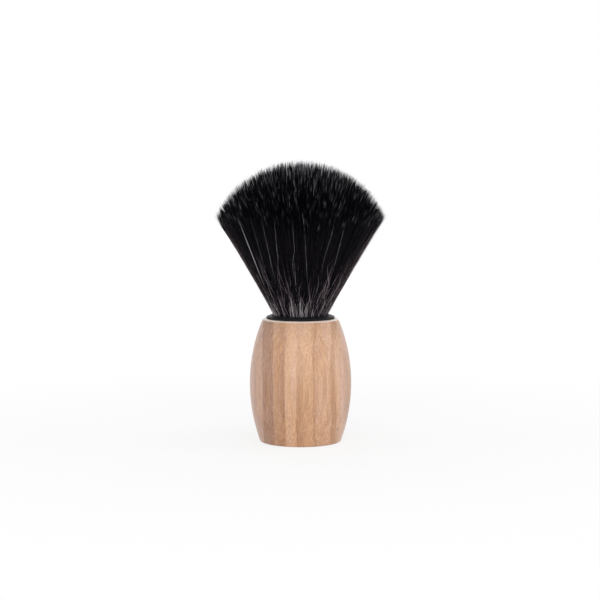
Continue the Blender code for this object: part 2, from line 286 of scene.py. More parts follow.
def oiled_wood(settings):
    """Pale hardwood, turned along the grain, sanded and oiled.

    The eye sees straight growth rings of uneven width, some with a sharp edge and some pinkish, with
    fine streaks, flecks and short open pores, under a thin satin coat. The streaks and pores are drawn
    coarser than real ones, so that they show. The top edge is paler, a painted highlight on the rounded
    rim, and a few mm under the top the wood is darker, painted shade under the head. The pinkish rows at
    the left and right edges are partly painted sheen.
    """
    material, tree, shader = new_material("pale hardwood, turned and oiled")
    place = in_mm(tree)
    uneven = grain(tree, place, across=3, along=40, detail=3)
    wander = add(tree, "MapRange", [uneven, *USUAL_NOISE, -RING_WANDER, RING_WANDER])
    moved = add(tree, "VectorMath", [place, add(tree, "CombineXYZ", {"X": wander})], operation="ADD")
    flat = add(tree, "VectorMath", [moved, (1, 1, 0)], operation="MULTIPLY")
    from_pith = add(tree, "VectorMath", [flat, (PITH_DISTANCE, 0, 0)], operation="ADD")
    reach = add(tree, "VectorMath", [from_pith], out="Value", operation="LENGTH")
    spot = add(tree, "MapRange", [reach, PITH_DISTANCE - RING_SPAN, PITH_DISTANCE + RING_SPAN, 0, 1])
    rings = add(tree, "ValToRGB", [spot])
    stops = rings.node.color_ramp.elements
    ends = [ring[0] - RING_EDGE for ring in GROWTH_RINGS[1:]] + [RING_SPAN]
    for (begin, first, last, warmth, fading), end in zip(GROWTH_RINGS, ends):
        for mm, late in ((begin, first), (end, last)):
            stop = stops.new((mm + RING_SPAN) / (2 * RING_SPAN))
            stop.color = (late, warmth, fading, 1)
    stops.remove(stops[0])
    stops.remove(stops[-1])
    late, warmth, fading = list(add(tree, "SeparateColor", [rings]).node.outputs)[:3]

    # Rings come and go along the handle, and streaks of two widths run through them
    top = settings.height / MM
    height = add(tree, "SeparateXYZ", [place], out="Z")
    risen = add(tree, "MapRange", [height, RING_FADE[0] * top, RING_FADE[1] * top, 0, 1])
    lost = add(tree, "Math", [risen, fading], operation="MULTIPLY")
    kept = add(tree, "Math", [1, lost], operation="SUBTRACT")
    shown = add(tree, "Math", [late, kept], operation="MULTIPLY")
    streaks = grain(tree, place, across=0.4, along=25, detail=4)
    bands = grain(tree, place, across=1.2, along=45, detail=2)
    fine = add(tree, "MapRange", [streaks, *USUAL_NOISE, -0.25, 0.25])
    broad = add(tree, "MapRange", [bands, *USUAL_NOISE, -0.15, 0.15])
    streaky = add(tree, "Math", [shown, fine], operation="ADD")
    share = add(tree, "Math", [streaky, broad], operation="ADD", use_clamp=True)

    # Pinkish and brown wood lie side by side, in patches drawn out along the grain
    patches = grain(tree, place, across=1.8, along=30, detail=3)
    patch = add(tree, "MapRange", [patches, *USUAL_NOISE, -0.35, 0.35])
    hue = add(tree, "Math", [warmth, patch], operation="ADD", use_clamp=True)
    early = {6: opaque(settings.early_blush), 7: opaque(settings.early_wood)}
    later = {6: opaque(settings.late_blush), 7: opaque(settings.late_wood)}
    pale = add(tree, "Mix", {0: hue, **early}, **MIX)
    dark = add(tree, "Mix", {0: hue, **later}, **MIX)
    wood = add(tree, "Mix", {0: share, 6: pale, 7: dark}, **MIX)
    flecks = grain(tree, place, across=0.35, along=0.9, detail=2)
    tone = add(tree, "MapRange", [flecks, *USUAL_NOISE, 0.87, 1.13])
    # Painted shade: the wood is darkened a few mm under the top, where the head shades it
    painted_top_shade = add(tree, "MapRange", [height, top - TOP_SHADE_SPAN[0], top - TOP_SHADE_SPAN[1], 1, 0.88])
    oiled_and_shaded = add(tree, "Math", [tone, painted_top_shade], operation="MULTIPLY")
    flecked = add(tree, "Mix", {0: 1, 6: wood, 7: add(tree, "CombineColor", [oiled_and_shaded] * 3)}, **TINT)
    vessels = grain(tree, place, across=0.2, along=3.5, detail=0)
    pores = add(tree, "MapRange", [vessels, 0.68, 0.8, 0, 0.5])
    pored = add(tree, "Mix", {0: pores, 6: flecked, 7: opaque(settings.pore)}, **MIX)
    # Painted highlight: the top edge is lightened where light catches the rounded rim
    painted_highlight = add(tree, "MapRange", [height, top - RIM_HIGHLIGHT[0], top - RIM_HIGHLIGHT[1], 0, 0.95])
    finished = add(tree, "Mix", {0: painted_highlight, 6: pored, 7: opaque(settings.rim_highlight)}, **MIX)
    tree.links.new(finished, shader.inputs["Base Color"])
    tree.links.new(add(tree, "MapRange", [streaks, *USUAL_NOISE, 0.52, 0.42]), shader.inputs["Roughness"])
    dents = add(tree, "Math", [streaks, pores], operation="SUBTRACT")
    bump = add(tree, "Bump", {"Strength": 0.3, "Distance": 0.03 * MM, "Height": dents})
    tree.links.new(bump, shader.inputs["Normal"])
    shader.inputs["Specular IOR Level"].default_value = 0.35
    shader.inputs["Coat Weight"].default_value = 0.45
    shader.inputs["Coat Roughness"].default_value = 0.25
    return material


def moulded_plastic(settings):
    """Black ABS from a fine-blasted mould: the eye sees a dark body with soft, faint reflections."""
    material, tree, shader = new_material("black ABS, moulded")
    place = in_mm(tree)

    # Faint clouds 1.5 mm across, and the grit of the mould, drawn coarser than it is so that it shows
    cloud = add(tree, "TexNoise", {"Vector": place, "Scale": 1 / 1.5, "Detail": 2})
    fine = add(tree, "TexNoise", {"Vector": place, "Scale": 1 / 0.15, "Detail": 1})
    tone = add(tree, "MapRange", [cloud, *USUAL_NOISE, 0.8, 1.3])
    grey = add(tree, "CombineColor", [tone] * 3)
    body = add(tree, "Mix", {0: 1, 6: opaque(settings.plastic), 7: grey}, **TINT)
    tree.links.new(body, shader.inputs["Base Color"])
    tree.links.new(add(tree, "MapRange", [cloud, *USUAL_NOISE, 0.36, 0.46]), shader.inputs["Roughness"])
    bump = add(tree, "Bump", {"Strength": 0.15, "Distance": 0.01 * MM, "Height": fine})
    tree.links.new(bump, shader.inputs["Normal"])
    shader.inputs["IOR"].default_value = 1.53
    shader.inputs["Specular IOR Level"].default_value = 0.04
    return material


# A fibre's map: its column says how pale it is by the ring and at its tip, and up it goes from root to tip
FIBRE_MAP = "FibreMap"
BAKE_MAP = "OFBake"
SHADE_STEPS = 8
SHADES = SHADE_STEPS**2
COLUMN_MARGIN = 0.1
TIP_LEVEL = 0.999

# Along a fibre: where its painted sheen by the ring starts, where it ends on a dark and on a pale one, how
# much further it goes where the tip is pale too, how many patches it breaks into, and where a lit tip
# begins and is lightest. Columns are set apart, so that each has patches of its own.
ROOT_SHEEN_START = 0.03
ROOT_SHEEN_ENDS = (0.12, 0.32)
ROOT_SHEEN_DRAWN_UP = 0.4
ROOT_SHEEN_PATCHES = 20
PATCH_COLUMNS = 5
LIT_TIP = (0.94, 0.985)
MOST_COMBED_ROOT_SHEEN = 0.04

# The share of a lit stretch that is fully light
LIT_CORE = 0.2


def pbt_fibre(name):
    """A material for drawn PBT fibre, with its node tree, its shader and the place on the fibre's map."""
    material, tree, shader = new_material(name)
    shader.inputs["Roughness"].default_value = 0.45
    shader.inputs["IOR"].default_value = 1.53
    shader.inputs["Specular IOR Level"].default_value = 0.05
    spot = add(tree, "SeparateXYZ", [add(tree, "UVMap", uv_map=FIBRE_MAP)]).node.outputs
    return material, tree, shader, spot


def in_steps(tree, value, count):
    """Which of so many equal steps a value lies in, as a share from 0 to 1."""
    scaled = add(tree, "Math", [value, count], operation="MULTIPLY")
    step = add(tree, "Math", [scaled], operation="FLOOR")
    return add(tree, "Math", [step, count - 1], operation="DIVIDE")


def drawn_fibre(settings):
    """Black PBT fibre, drawn and tapered: a dark body, painted mauve-grey sheen by the ring and painted
    highlights at some tips.

    A fibre's column on its map is one of 8 shades by the ring, and within that one of 8 at the tip.
    """
    material, tree, shader, spot = pbt_fibre("black PBT fibre, drawn and tapered")
    root_shade = in_steps(tree, spot["X"], SHADE_STEPS)
    within = add(tree, "Math", [spot["X"], SHADE_STEPS], operation="MULTIPLY")
    tip_shade = in_steps(tree, add(tree, "Math", [within], operation="FRACT"), SHADE_STEPS)
    drawn_up = add(tree, "Math", [root_shade, tip_shade], operation="MULTIPLY")
    usual_end = add(tree, "MapRange", [root_shade, 0, 1, *ROOT_SHEEN_ENDS])
    root_sheen_end = add(tree, "Math", [drawn_up, ROOT_SHEEN_DRAWN_UP, usual_end], operation="MULTIPLY_ADD")
    by_ring = add(tree, "MapRange", [spot["Y"], ROOT_SHEEN_START, root_sheen_end, 1, 0])
    whole = add(tree, "Math", [by_ring, root_shade], operation="MULTIPLY")
    column = add(tree, "Math", [spot["X"], SHADES], operation="MULTIPLY")
    whole_column = add(tree, "Math", [column], operation="FLOOR")
    patch = add(tree, "CombineXYZ", {"X": whole_column, "Y": spot["Y"]})
    patchy = add(tree, "VectorMath", [patch, (PATCH_COLUMNS, ROOT_SHEEN_PATCHES, 0)], operation="MULTIPLY")
    broken = add(tree, "TexNoise", {"Vector": patchy, "Scale": 1, "Detail": 2})
    share_left = add(tree, "MapRange", [broken, *USUAL_NOISE, 0.4, 1.3])
    # Painted sheen by the ring, broken into patches
    root_sheen = add(tree, "Math", [whole, share_left], operation="MULTIPLY")
    by_tip = add(tree, "MapRange", [spot["Y"], *LIT_TIP, 0, 1])
    light = add(tree, "Math", [by_tip, tip_shade], operation="MULTIPLY")
    with_root_sheen = add(tree, "Mix", {0: root_sheen, 6: opaque(settings.body), 7: opaque(settings.root_sheen)}, **MIX)
    finished = add(tree, "Mix", {0: light, 6: with_root_sheen, 7: opaque(settings.tip)}, **MIX)
    tree.links.new(finished, shader.inputs["Base Color"])
    return material


def glinting_fibre(name, body, light, low, high, stretch):
    """The same fibre lying loose, so that one stretch of it catches the light.

    The middle of that stretch lies between low and high along the fibre, and differs from fibre to fibre.
    """
    material, tree, shader, spot = pbt_fibre(name)
    middle = add(tree, "MapRange", [in_steps(tree, spot["X"], SHADES), 0, 1, low, high])
    off = add(tree, "Math", [spot["Y"], middle], operation="SUBTRACT")
    away = add(tree, "Math", [off], operation="ABSOLUTE")
    lit = add(tree, "MapRange", [away, LIT_CORE * stretch, stretch, 1, 0])
    finished = add(tree, "Mix", {0: lit, 6: opaque(body), 7: opaque(light)}, **MIX)
    tree.links.new(finished, shader.inputs["Base Color"])
    return material


def sheeny_fibre(settings):
    """The same fibre lying side by side on the outside of the head: grazing light shows as a soft sheen."""
    material, tree, shader, spot = pbt_fibre("black PBT fibre, combed")
    # A little of the painted sheen by the ring is mixed into the colour; the soft sheen itself is the
    # shader's
    share = add(tree, "MapRange", [in_steps(tree, spot["X"], SHADES), 0, 1, 0, MOST_COMBED_ROOT_SHEEN])
    finished = add(tree, "Mix", {0: share, 6: opaque(settings.body), 7: opaque(settings.root_sheen)}, **MIX)
    tree.links.new(finished, shader.inputs["Base Color"])
    shader.inputs["Sheen Weight"].default_value = 1
    shader.inputs["Sheen Roughness"].default_value = 0.25
    shader.inputs["Sheen Tint"].default_value = opaque(settings.sheen)
    return material


def clouded(name, shares, roughness, grit):
    """A cast or wound material whose tone varies in soft clouds of this size in millimetres."""
    material, tree, shader = new_material(name)
    cloud = add(tree, "TexNoise", {"Vector": in_mm(tree), "Scale": 1 / grit, "Detail": 3})
    tone = add(tree, "MapRange", [cloud, *USUAL_NOISE, 0.75, 1.15])
    grey = add(tree, "CombineColor", [tone] * 3)
    body = add(tree, "Mix", {0: 1, 6: opaque(shares), 7: grey}, **TINT)
    tree.links.new(body, shader.inputs["Base Color"])
    bump = add(tree, "Bump", {"Strength": 0.2, "Distance": 0.02 * MM, "Height": cloud})
    tree.links.new(bump, shader.inputs["Normal"])
    shader.inputs["Roughness"].default_value = roughness
    return material


def turned(name, outline):
    """A closed piece turned about Z: the outline is drawn point by point, spun and welded."""
    bpy.ops.object.select_all(action="DESELECT")
    bpy.ops.mesh.primitive_plane_add(size=MM)
    piece = bpy.context.object
    piece.name = piece.data.name = name
    bpy.ops.object.mode_set(mode="EDIT")
    bpy.ops.mesh.select_all(action="SELECT")
    bpy.ops.mesh.merge(type="CENTER")
    bpy.ops.transform.translate(value=(outline[0][0], 0, outline[0][1]))
    for last, point in zip(outline, outline[1:]):
        step = (point[0] - last[0], 0, point[1] - last[1])
        bpy.ops.mesh.extrude_region_move(TRANSFORM_OT_translate={"value": step})
    bpy.ops.mesh.select_all(action="SELECT")
    bpy.ops.mesh.spin(steps=TURN_STEPS, angle=math.tau, center=(0, 0, 0), axis=(0, 0, 1))
    bpy.ops.mesh.select_all(action="SELECT")
    bpy.ops.mesh.remove_doubles(threshold=WELD)
    bpy.ops.mesh.normals_make_consistent(inside=False)
    bpy.ops.object.mode_set(mode="OBJECT")
    bpy.ops.object.shade_smooth_by_angle(angle=SMOOTH_ANGLE)
    return piece


def rounded(corners):
    """The points of an outline. A corner's third number, where it has one, is its rounding radius."""
    points = []
    for index, corner in enumerate(corners):
        point = Vector(corner[:2])
        if len(corner) == 2:
            points.append(tuple(point))
            continue
        to_last = Vector(corners[index - 1][:2]) - point
        to_next = Vector(corners[index + 1][:2]) - point
        half = to_last.angle(to_next) / 2
        reach = min(corner[2] / math.tan(half), to_last.length / 2, to_next.length / 2)
        radius = reach * math.tan(half)
        to_last.normalize()
        to_next.normalize()
        centre = point + (to_last + to_next).normalized() * radius / math.sin(half)
        start = point + to_last * reach - centre
        end = point + to_next * reach - centre
        shares = [step / ROUND_STEPS for step in range(ROUND_STEPS + 1)]
        points += [tuple(centre + radius * start.slerp(end, share)) for share in shares]
    return points


def dress(piece, material, slot, *nodes):
    """Gives a finished piece its material, and ties it to the frame."""
    piece.data.materials.clear()
    piece.data.materials.append(material)
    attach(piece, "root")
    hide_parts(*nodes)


class BRUSH_OT_handle(bpy.types.Operator):
    """Turn the wooden handle"""

    bl_idname = "brush.handle"
    bl_label = "Wooden Handle"

    def execute(self, context):
        sizes = context.scene.brush_handle
        neck = sizes.belly_radius - sizes.neck_tuck
        base = sizes.belly_radius - sizes.base_tuck

        def barrel(height):
            above = height > sizes.belly_height
            rise = sizes.height - sizes.belly_height if above else sizes.belly_height
            tuck = sizes.neck_tuck if above else sizes.base_tuck
            bow = (rise**2 + tuck**2) / (2 * tuck)
            return sizes.belly_radius - bow + math.sqrt(bow**2 - (height - sizes.belly_height) ** 2)

        heights = [sizes.height * (1 - step / BARREL_LEVELS) for step in range(1, BARREL_LEVELS)]
        outline = rounded(
            [
                (0, sizes.socket_floor),
                (sizes.socket_radius, sizes.socket_floor),
                (sizes.socket_radius, sizes.height, sizes.socket_round),
                (neck, sizes.height, sizes.neck_round),
                *[(barrel(height), height) for height in heights],
                (base, 0, sizes.base_round),
                (0, 0),
            ]
        )
        dress(turned("wooden_handle", outline), oiled_wood(sizes), "wood", "handle")
        return {"FINISHED"}


class BRUSH_OT_ring(bpy.types.Operator):
    """Mould the plastic ring"""

    bl_idname = "brush.ring"
    bl_label = "Plastic Ring"

    def execute(self, context):
        sizes = context.scene.brush_ring
        bore = sizes.pocket_radius - sizes.plug_lip
        skirt = bore + sizes.wall
        throat = (bore, sizes.throat)
        corners = [
            throat,
            (sizes.bead_radius - sizes.crest_width, sizes.top, sizes.mouth_round),
            (sizes.bead_radius, sizes.top - sizes.crest_fall, sizes.bead_round),
            (sizes.bead_radius, sizes.seat, sizes.foot_round),
            (skirt, sizes.seat),
        ]
        for groove in range(sizes.grooves):
            middle = sizes.seat - sizes.groove_spacing * (groove + 1)
            corners += [
                (skirt, middle + sizes.groove_width / 2),
                (skirt - sizes.groove_depth, middle),
                (skirt, middle - sizes.groove_width / 2),
            ]
        corners += [
            (skirt, sizes.bottom, sizes.skirt_round),
            (sizes.pocket_radius, sizes.bottom),
            (sizes.pocket_radius, sizes.bottom + sizes.pocket_height),
            (bore, sizes.bottom + sizes.pocket_height),
            throat,
        ]
        dress(turned("plastic_ring", rounded(corners)), moulded_plastic(sizes), "ring_plastic", "knot_ring")
        return {"FINISHED"}


# A fibre tapers: places along it, its width there, and how unlike in thickness fibres are
FIBRE_SIDES = 3
TAPER_PLACES = (0.0, 0.3, 0.6, 0.85, 0.96)
TAPER_WIDTHS = (0.9, 1.0, 1.0, 0.85, 0.55)
FIBRE_THICKNESS = (0.8, 1.2)

# Where a straight fibre and a wavy one are divided, how far out the wavy ones begin, and how many pieces
# each kind is kept in, with under 200,000 triangles to a piece
STRAIGHT = (0.0, 0.3, 0.6, 0.85, 0.96, 1.0)
WAVY = (0.0, 0.07, 0.14, 0.21, 0.28, 0.36, 0.45, 0.55, 0.7, 0.85, 0.96, 1.0)
WAVY_FROM = 0.8
STRAIGHT_PIECES = 3
WAVY_PIECES = 5

# Tips: most gather in tufts, whose outer fibres end lower than their middle, and the rest stand free
FIBRE_SEED = 11
FIBRE_JITTER = 1.0
TUFT_JITTER = 0.8
LEAST_OUT = 0.05
SEARCH_PARTS = 40
GATHERED_SHARE = 0.9
GATHERED_PULL = (0.8, 1.0)
FREE_PULL = (0.0, 0.3)
FREE_SHORT = (0.5 * MM, 5 * MM)
SET_BACK_SHARE = 0.5
MOST_SET_BACK = 4 * MM
TUFT_RAGGED = 0.55 * MM
TUFT_SLOPE = 0.5 * MM
TIP_RAGGED = 0.2 * MM

# The rim: how far out fibres start to flare and to fray, and how much they do
FLARE_FROM = 0.85
RIM_FLARE = 0.5 * MM
FRAY_FROM = 0.9
RIM_FRAY = 0.8 * MM

# The way up: each fibre's own sway, how far the outermost ones bow in, how far the head's side leans out as
# it rises, and how the locks lie
FIBRE_SWAY = 0.2 * MM
HEAD_BOW = 0.75 * MM
HEAD_LEAN = 0.58
LOCK_DEPTHS = 12
LOCK_WIGGLE = 1.2
LOCK_WIGGLES = 5
LOCK_BEND = 0.7 * MM
LOCK_DRAW = 0.6
LOCK_RIPPLE = 0.4 * MM
LOCK_WAVES = (1.5, 3.5)

# Shades: the higher the power, the fewer pale ones. Tips in the middle of the head catch more light.
LOCK_POWER = 6.5
TUFT_POWER = 8
OWN_SHARES = ((0.15,), (0.3,))
OWN_POWERS = ((3,), (8,))
TIP_PLACES = (0, 0.3, 0.45, 0.75, 0.92, 1)
TIP_LIGHT = (4, 2.5, 0.8, 0.35, 0.35, 0.8)

# Loose fibres: how far their tips wander round the head, their sway, bow and waves, how unlike in thickness
# they are, how far most are kinked, and by how much they end short of the dome
LOOSE_WANDER = 0.08
LOOSE_SWAY = 0.7 * MM
LOOSE_BOW = -0.5 * MM
LOOSE_WAVES = (1, 3.5)
LOOSE_THICKNESS = (0.7, 1.4)
LOOSE_KINK = 0.8 * MM
LEAST_SHORT = 0.3 * MM
MOST_SHORT = 3 * MM

# Stray fibres on the front: how far out they lie, between which places along them the middle of a lit
# stretch can be, and how they ripple
STRAY_OUT = 1.01
STRAY_LOW = 0.3
STRAY_HIGH = 0.9
STRAY_RIPPLE = 0.4 * MM
STRAY_WAVES = (1, 2.5)

# Each stray fibre: where it leaves the ring and where it ends, in degrees round the brush, the middle of
# its lit stretch along it, and its thickness in mm
STRAYS = (
    (-160, -135, 0.66, 0.17),
    (-150, -124, 0.70, 0.02),
    (-132, -116, 0.70, 0.04),
    (-134, -107, 0.75, 0.03),
    (-101, -95, 0.68, 0.03),
    (-68, -88, 0.62, 0.025),
    (-72, -67, 0.80, 0.03),
    (-38, -59, 0.72, 0.03),
)


def one_fibre(levels):
    """One fibre to copy: a three-sided shaft of unit height and thickness, drawn to a point."""
    widths = np.interp(levels, TAPER_PLACES, TAPER_WIDTHS)
    bpy.ops.object.select_all(action="DESELECT")
    bpy.ops.mesh.primitive_circle_add(vertices=FIBRE_SIDES, radius=widths[0] / 2, fill_type="NGON")
    fibre = bpy.context.object
    bpy.ops.object.mode_set(mode="EDIT")
    bpy.ops.mesh.select_all(action="SELECT")
    for level in range(1, len(levels)):
        rise = levels[level] - levels[level - 1]
        bpy.ops.mesh.extrude_region_move(TRANSFORM_OT_translate={"value": (0, 0, rise)})
        narrowing = widths[level] / widths[level - 1]
        bpy.ops.transform.resize(value=(narrowing, narrowing, 1))
    bpy.ops.mesh.merge(type="CENTER")
    bpy.ops.mesh.select_all(action="SELECT")
    bpy.ops.mesh.normals_make_consistent(inside=False)
    bpy.ops.object.mode_set(mode="OBJECT")
    points = np.array([vert.co for vert in fibre.data.vertices])
    faces = [list(face.vertices) for face in fibre.data.polygons]
    bpy.data.objects.remove(fibre)
    return points, faces


def fibre_map(points, faces):
    """Each face corner's place on the one fibre's map: across its face, and along from root to tip."""
    turn = np.arctan2(points[:, 1], points[:, 0]) / math.tau
    sides = np.round(turn * FIBRE_SIDES).astype(int) % FIBRE_SIDES
    at_tip = points[:, 2] > TIP_LEVEL
    corners = []
    for face in faces:
        used = sorted({int(sides[corner]) for corner in face if not at_tip[corner]})
        last = 0 if used == [0, FIBRE_SIDES - 1] else used[-1]
        for corner in face:
            across = 0.5 if at_tip[corner] else float(sides[corner] == last)
            corners.append((COLUMN_MARGIN + (1 - 2 * COLUMN_MARGIN) * across, points[corner, 2]))
    return np.array(corners)


def bundle(name, fibre, lines, thickness, shades, turns):
    """Copies the one fibre along each centre line, as one mesh with its fibre map."""
    points, faces = fibre
    level = np.unique(np.round(points[:, 2], 3), return_inverse=True)[1]
    cos = np.cos(turns)[:, None]
    sin = np.sin(turns)[:, None]
    spots = lines[:, level]
    spots[:, :, 0] += (points[:, 0] * cos - points[:, 1] * sin) * thickness[:, None]
    spots[:, :, 1] += (points[:, 0] * sin + points[:, 1] * cos) * thickness[:, None]
    first = range(0, len(lines) * len(points), len(points))
    copies = [[corner + start for corner in face] for start in first for face in faces]
    mesh = bpy.data.meshes.new(name)
    mesh.from_pydata(spots.reshape(-1, 3).tolist(), [], copies)

    corners = np.tile(fibre_map(points, faces), (len(lines), 1, 1))
    corners[:, :, 0] = (corners[:, :, 0] + shades[:, None]) / SHADES
    for map_name in (FIBRE_MAP, BAKE_MAP):
        layer = mesh.uv_layers.new(name=map_name)
        layer.uv.foreach_set("vector", corners.astype(np.float32).ravel())
    piece = bpy.data.objects.new(name, mesh)
    bpy.context.scene.collection.objects.link(piece)
    return piece


def face_out(piece):
    """Shades the fibres of a piece as the smooth outside of the head that they lie on."""
    points = np.array([vert.co for vert in piece.data.vertices])
    flat = points * (1, 1, 0)
    outward = flat / np.linalg.norm(flat, axis=-1)[:, None] - (0, 0, HEAD_LEAN)
    piece.data.shade_smooth()
    piece.data.normals_split_custom_set_from_vertices(outward / np.linalg.norm(outward, axis=-1)[:, None])


def sunflower(count, jitter, rng):
    """Places spread evenly over a disc of radius 1: how far out each is, and its angle."""
    order = np.arange(count)
    out = np.sqrt((order + rng.random(count)) / count)
    off = rng.normal(0, jitter, count) / np.sqrt(count) / np.maximum(out, LEAST_OUT)
    return out, GOLDEN_ANGLE * order + off


def on_disc(out, angle, radius, height):
    """Points on a level disc."""
    flat = radius * out
    return np.stack([flat * np.cos(angle), flat * np.sin(angle), np.full(len(out), height)], -1)


def on_dome(sizes, out, angle):
    """Points on the dome that the longest tips reach, by their share of the way out to its rim."""
    dome = (sizes.bloom_radius**2 + sizes.dome_height**2) / (2 * sizes.dome_height)
    rim = math.atan2(sizes.bloom_radius, dome - sizes.dome_height)
    flat = dome * np.sin(rim * out)
    height = sizes.crown - dome + dome * np.cos(rim * out)
    return np.stack([flat * np.cos(angle), flat * np.sin(angle), height], -1)


def near_rim(out, start):
    """0 up to a share of the way out, and from there rising to 1 at the rim."""
    return np.clip((out - start) / (1 - start), 0, 1)


def shorter(roots, tips, short):
    """Tips drawn back towards their roots."""
    way = tips - roots
    return tips - way * (short / np.linalg.norm(way, axis=-1))[:, None]


def lines(levels, roots, tips, gather, sway, ripple, waves):
    """Centre lines: each bends to its tuft near the tip, sways on its way and ripples most by the ring."""
    along = np.array(levels)[:, None]
    bent = roots[:, None] + (tips - roots)[:, None] * along + gather[:, None] * along**3
    wave = np.sin(math.tau * waves[:, None, None] * along) * (1 - along)
    return bent + sway[:, None] * np.sin(math.pi * along) + ripple[:, None] * wave


def random_shades(rng, count, power):
    """Shades from dark to pale. The higher the power, the fewer pale ones."""
    return np.floor(SHADE_STEPS * rng.random(count) ** power).astype(int)


def nearest_tufts(out, angle, tuft_out, tuft_angle):
    """The tuft nearest to each fibre, and how far from its middle the fibre is, about 1 at its edge."""
    tuft_flat = on_disc(tuft_out, tuft_angle, 1, 0)
    nearest = []
    off_middle = []
    for part in np.array_split(on_disc(out, angle, 1, 0), SEARCH_PARTS):
        gaps = np.linalg.norm(part[:, None] - tuft_flat[None], axis=-1)
        nearest.append(gaps.argmin(1))
        off_middle.append(gaps.min(1))
    return np.concatenate(nearest), np.concatenate(off_middle) * math.sqrt(len(tuft_out))


def in_tufts(sizes, rng, out, angle, roots):
    """Each fibre's tuft, where its tip would be by itself, and how far that is drawn to the tuft.

    Most tips gather in tufts, whose outer fibres end lower than their middle. The rest stand free and end
    lower. At the rim the tips flare and fray.
    """
    count = len(out)
    tuft_out, tuft_angle = sunflower(sizes.tufts, TUFT_JITTER, rng)
    tuft, off_middle = nearest_tufts(out, angle, tuft_out, tuft_angle)
    gathered = rng.random(count) < GATHERED_SHARE
    pull = np.where(gathered, rng.uniform(*GATHERED_PULL, count), rng.uniform(*FREE_PULL, count))
    on_own = on_dome(sizes, out, angle)
    gather = (on_dome(sizes, tuft_out, tuft_angle)[tuft] - on_own) * pull[:, None]
    flare = near_rim(out, FLARE_FROM) * rng.normal(0, RIM_FLARE, count)
    gather += on_disc(np.ones(count), angle, 1, 0) * flare[:, None]
    is_set_back = rng.random(sizes.tufts) < SET_BACK_SHARE
    set_back = np.where(is_set_back, rng.uniform(0, MOST_SET_BACK, sizes.tufts), 0)
    tuft_short = (set_back + np.abs(rng.normal(0, TUFT_RAGGED, sizes.tufts)))[tuft]
    short = np.where(
        gathered,
        tuft_short + TUFT_SLOPE * off_middle**2 + np.abs(rng.normal(0, TIP_RAGGED, count)),
        rng.uniform(*FREE_SHORT, count),
    )
    frayed = near_rim(out, FRAY_FROM) * np.abs(rng.normal(0, RIM_FRAY, count))
    return tuft, shorter(roots, on_own, short + frayed), gather


def in_locks(sizes, rng, out, angle):
    """Each fibre's sway, its ripple, the number of its waves and its shade by the ring.

    By the ring the fibres lie in locks, which draw together, bend and ripple, each its own way.
    """
    count = len(out)
    sway = rng.normal(0, FIBRE_SWAY, (count, 3)) * (1, 1, 0)
    sway -= on_disc(out, angle, HEAD_BOW, 0)
    turn = angle / math.tau % 1
    wiggle = LOCK_WIGGLE * np.sin(LOCK_WIGGLES * angle)
    lock = np.floor(sizes.locks * turn + wiggle).astype(int) % sizes.locks
    lock += sizes.locks * np.floor(LOCK_DEPTHS * out).astype(int)
    lock_count = sizes.locks * (LOCK_DEPTHS + 1)
    east = np.bincount(lock, np.cos(angle), lock_count)
    north = np.bincount(lock, np.sin(angle), lock_count)
    off_lock = (angle - np.arctan2(north, east)[lock] + math.pi) % math.tau - math.pi
    bend = rng.normal(0, LOCK_BEND, lock_count)[lock]
    bend -= LOCK_DRAW * off_lock * out * sizes.bloom_radius / 2
    sideways = on_disc(np.ones(count), angle + math.pi / 2, 1, 0)
    sway += sideways * bend[:, None]
    ripple = sideways * rng.normal(0, LOCK_RIPPLE, lock_count)[lock][:, None]
    waves = rng.uniform(*LOCK_WAVES, lock_count)[lock]
    return sway, ripple, waves, random_shades(rng, lock_count, LOCK_POWER)[lock]


def head(sizes, rng, straight, wavy):
    """The head: fibres spread evenly over the root, each with its way up to the dome and its shades."""
    count = sizes.count
    out, angle = sunflower(count, FIBRE_JITTER, rng)
    roots = on_disc(out, angle, sizes.spread_radius, sizes.root_top)
    tuft, tips, gather = in_tufts(sizes, rng, out, angle, roots)
    sway, ripple, waves, lock_shades = in_locks(sizes, rng, out, angle)
    thickness = sizes.thickness * rng.uniform(*FIBRE_THICKNESS, count)

    # A few fibres differ from their lock by the ring, and from their tuft at the tip
    tuft_shades = random_shades(rng, sizes.tufts, TUFT_POWER)[tuft]
    alone = rng.random((2, count)) < OWN_SHARES
    own_shades = random_shades(rng, (2, count), OWN_POWERS)
    root_shades = np.where(alone[0], own_shades[0], lock_shades)
    tip_shades = np.where(alone[1], own_shades[1], tuft_shades) * np.interp(out, TIP_PLACES, TIP_LIGHT)
    shades = root_shades * SHADE_STEPS + np.minimum(tip_shades, SHADE_STEPS - 1).astype(int)
    turns = rng.uniform(0, math.tau, count)

    # The waves show only on the outside, so the fibres within are divided less finely
    material = drawn_fibre(sizes)
    outer = out > WAVY_FROM
    for name, levels, fibre, pieces, mine in (
        ("inner_fibres", STRAIGHT, straight, STRAIGHT_PIECES, np.flatnonzero(~outer)),
        ("outer_fibres", WAVY, wavy, WAVY_PIECES, np.flatnonzero(outer)),
    ):
        for index in range(pieces):
            some = mine[index::pieces]
            centre_lines = lines(
                levels, roots[some], tips[some], gather[some], sway[some], ripple[some], waves[some]
            )
            piece = bundle(
                f"{name}_{index + 1}", fibre, centre_lines, thickness[some], shades[some], turns[some]
            )
            dress(piece, material, "fibre", "fibre_bundle")


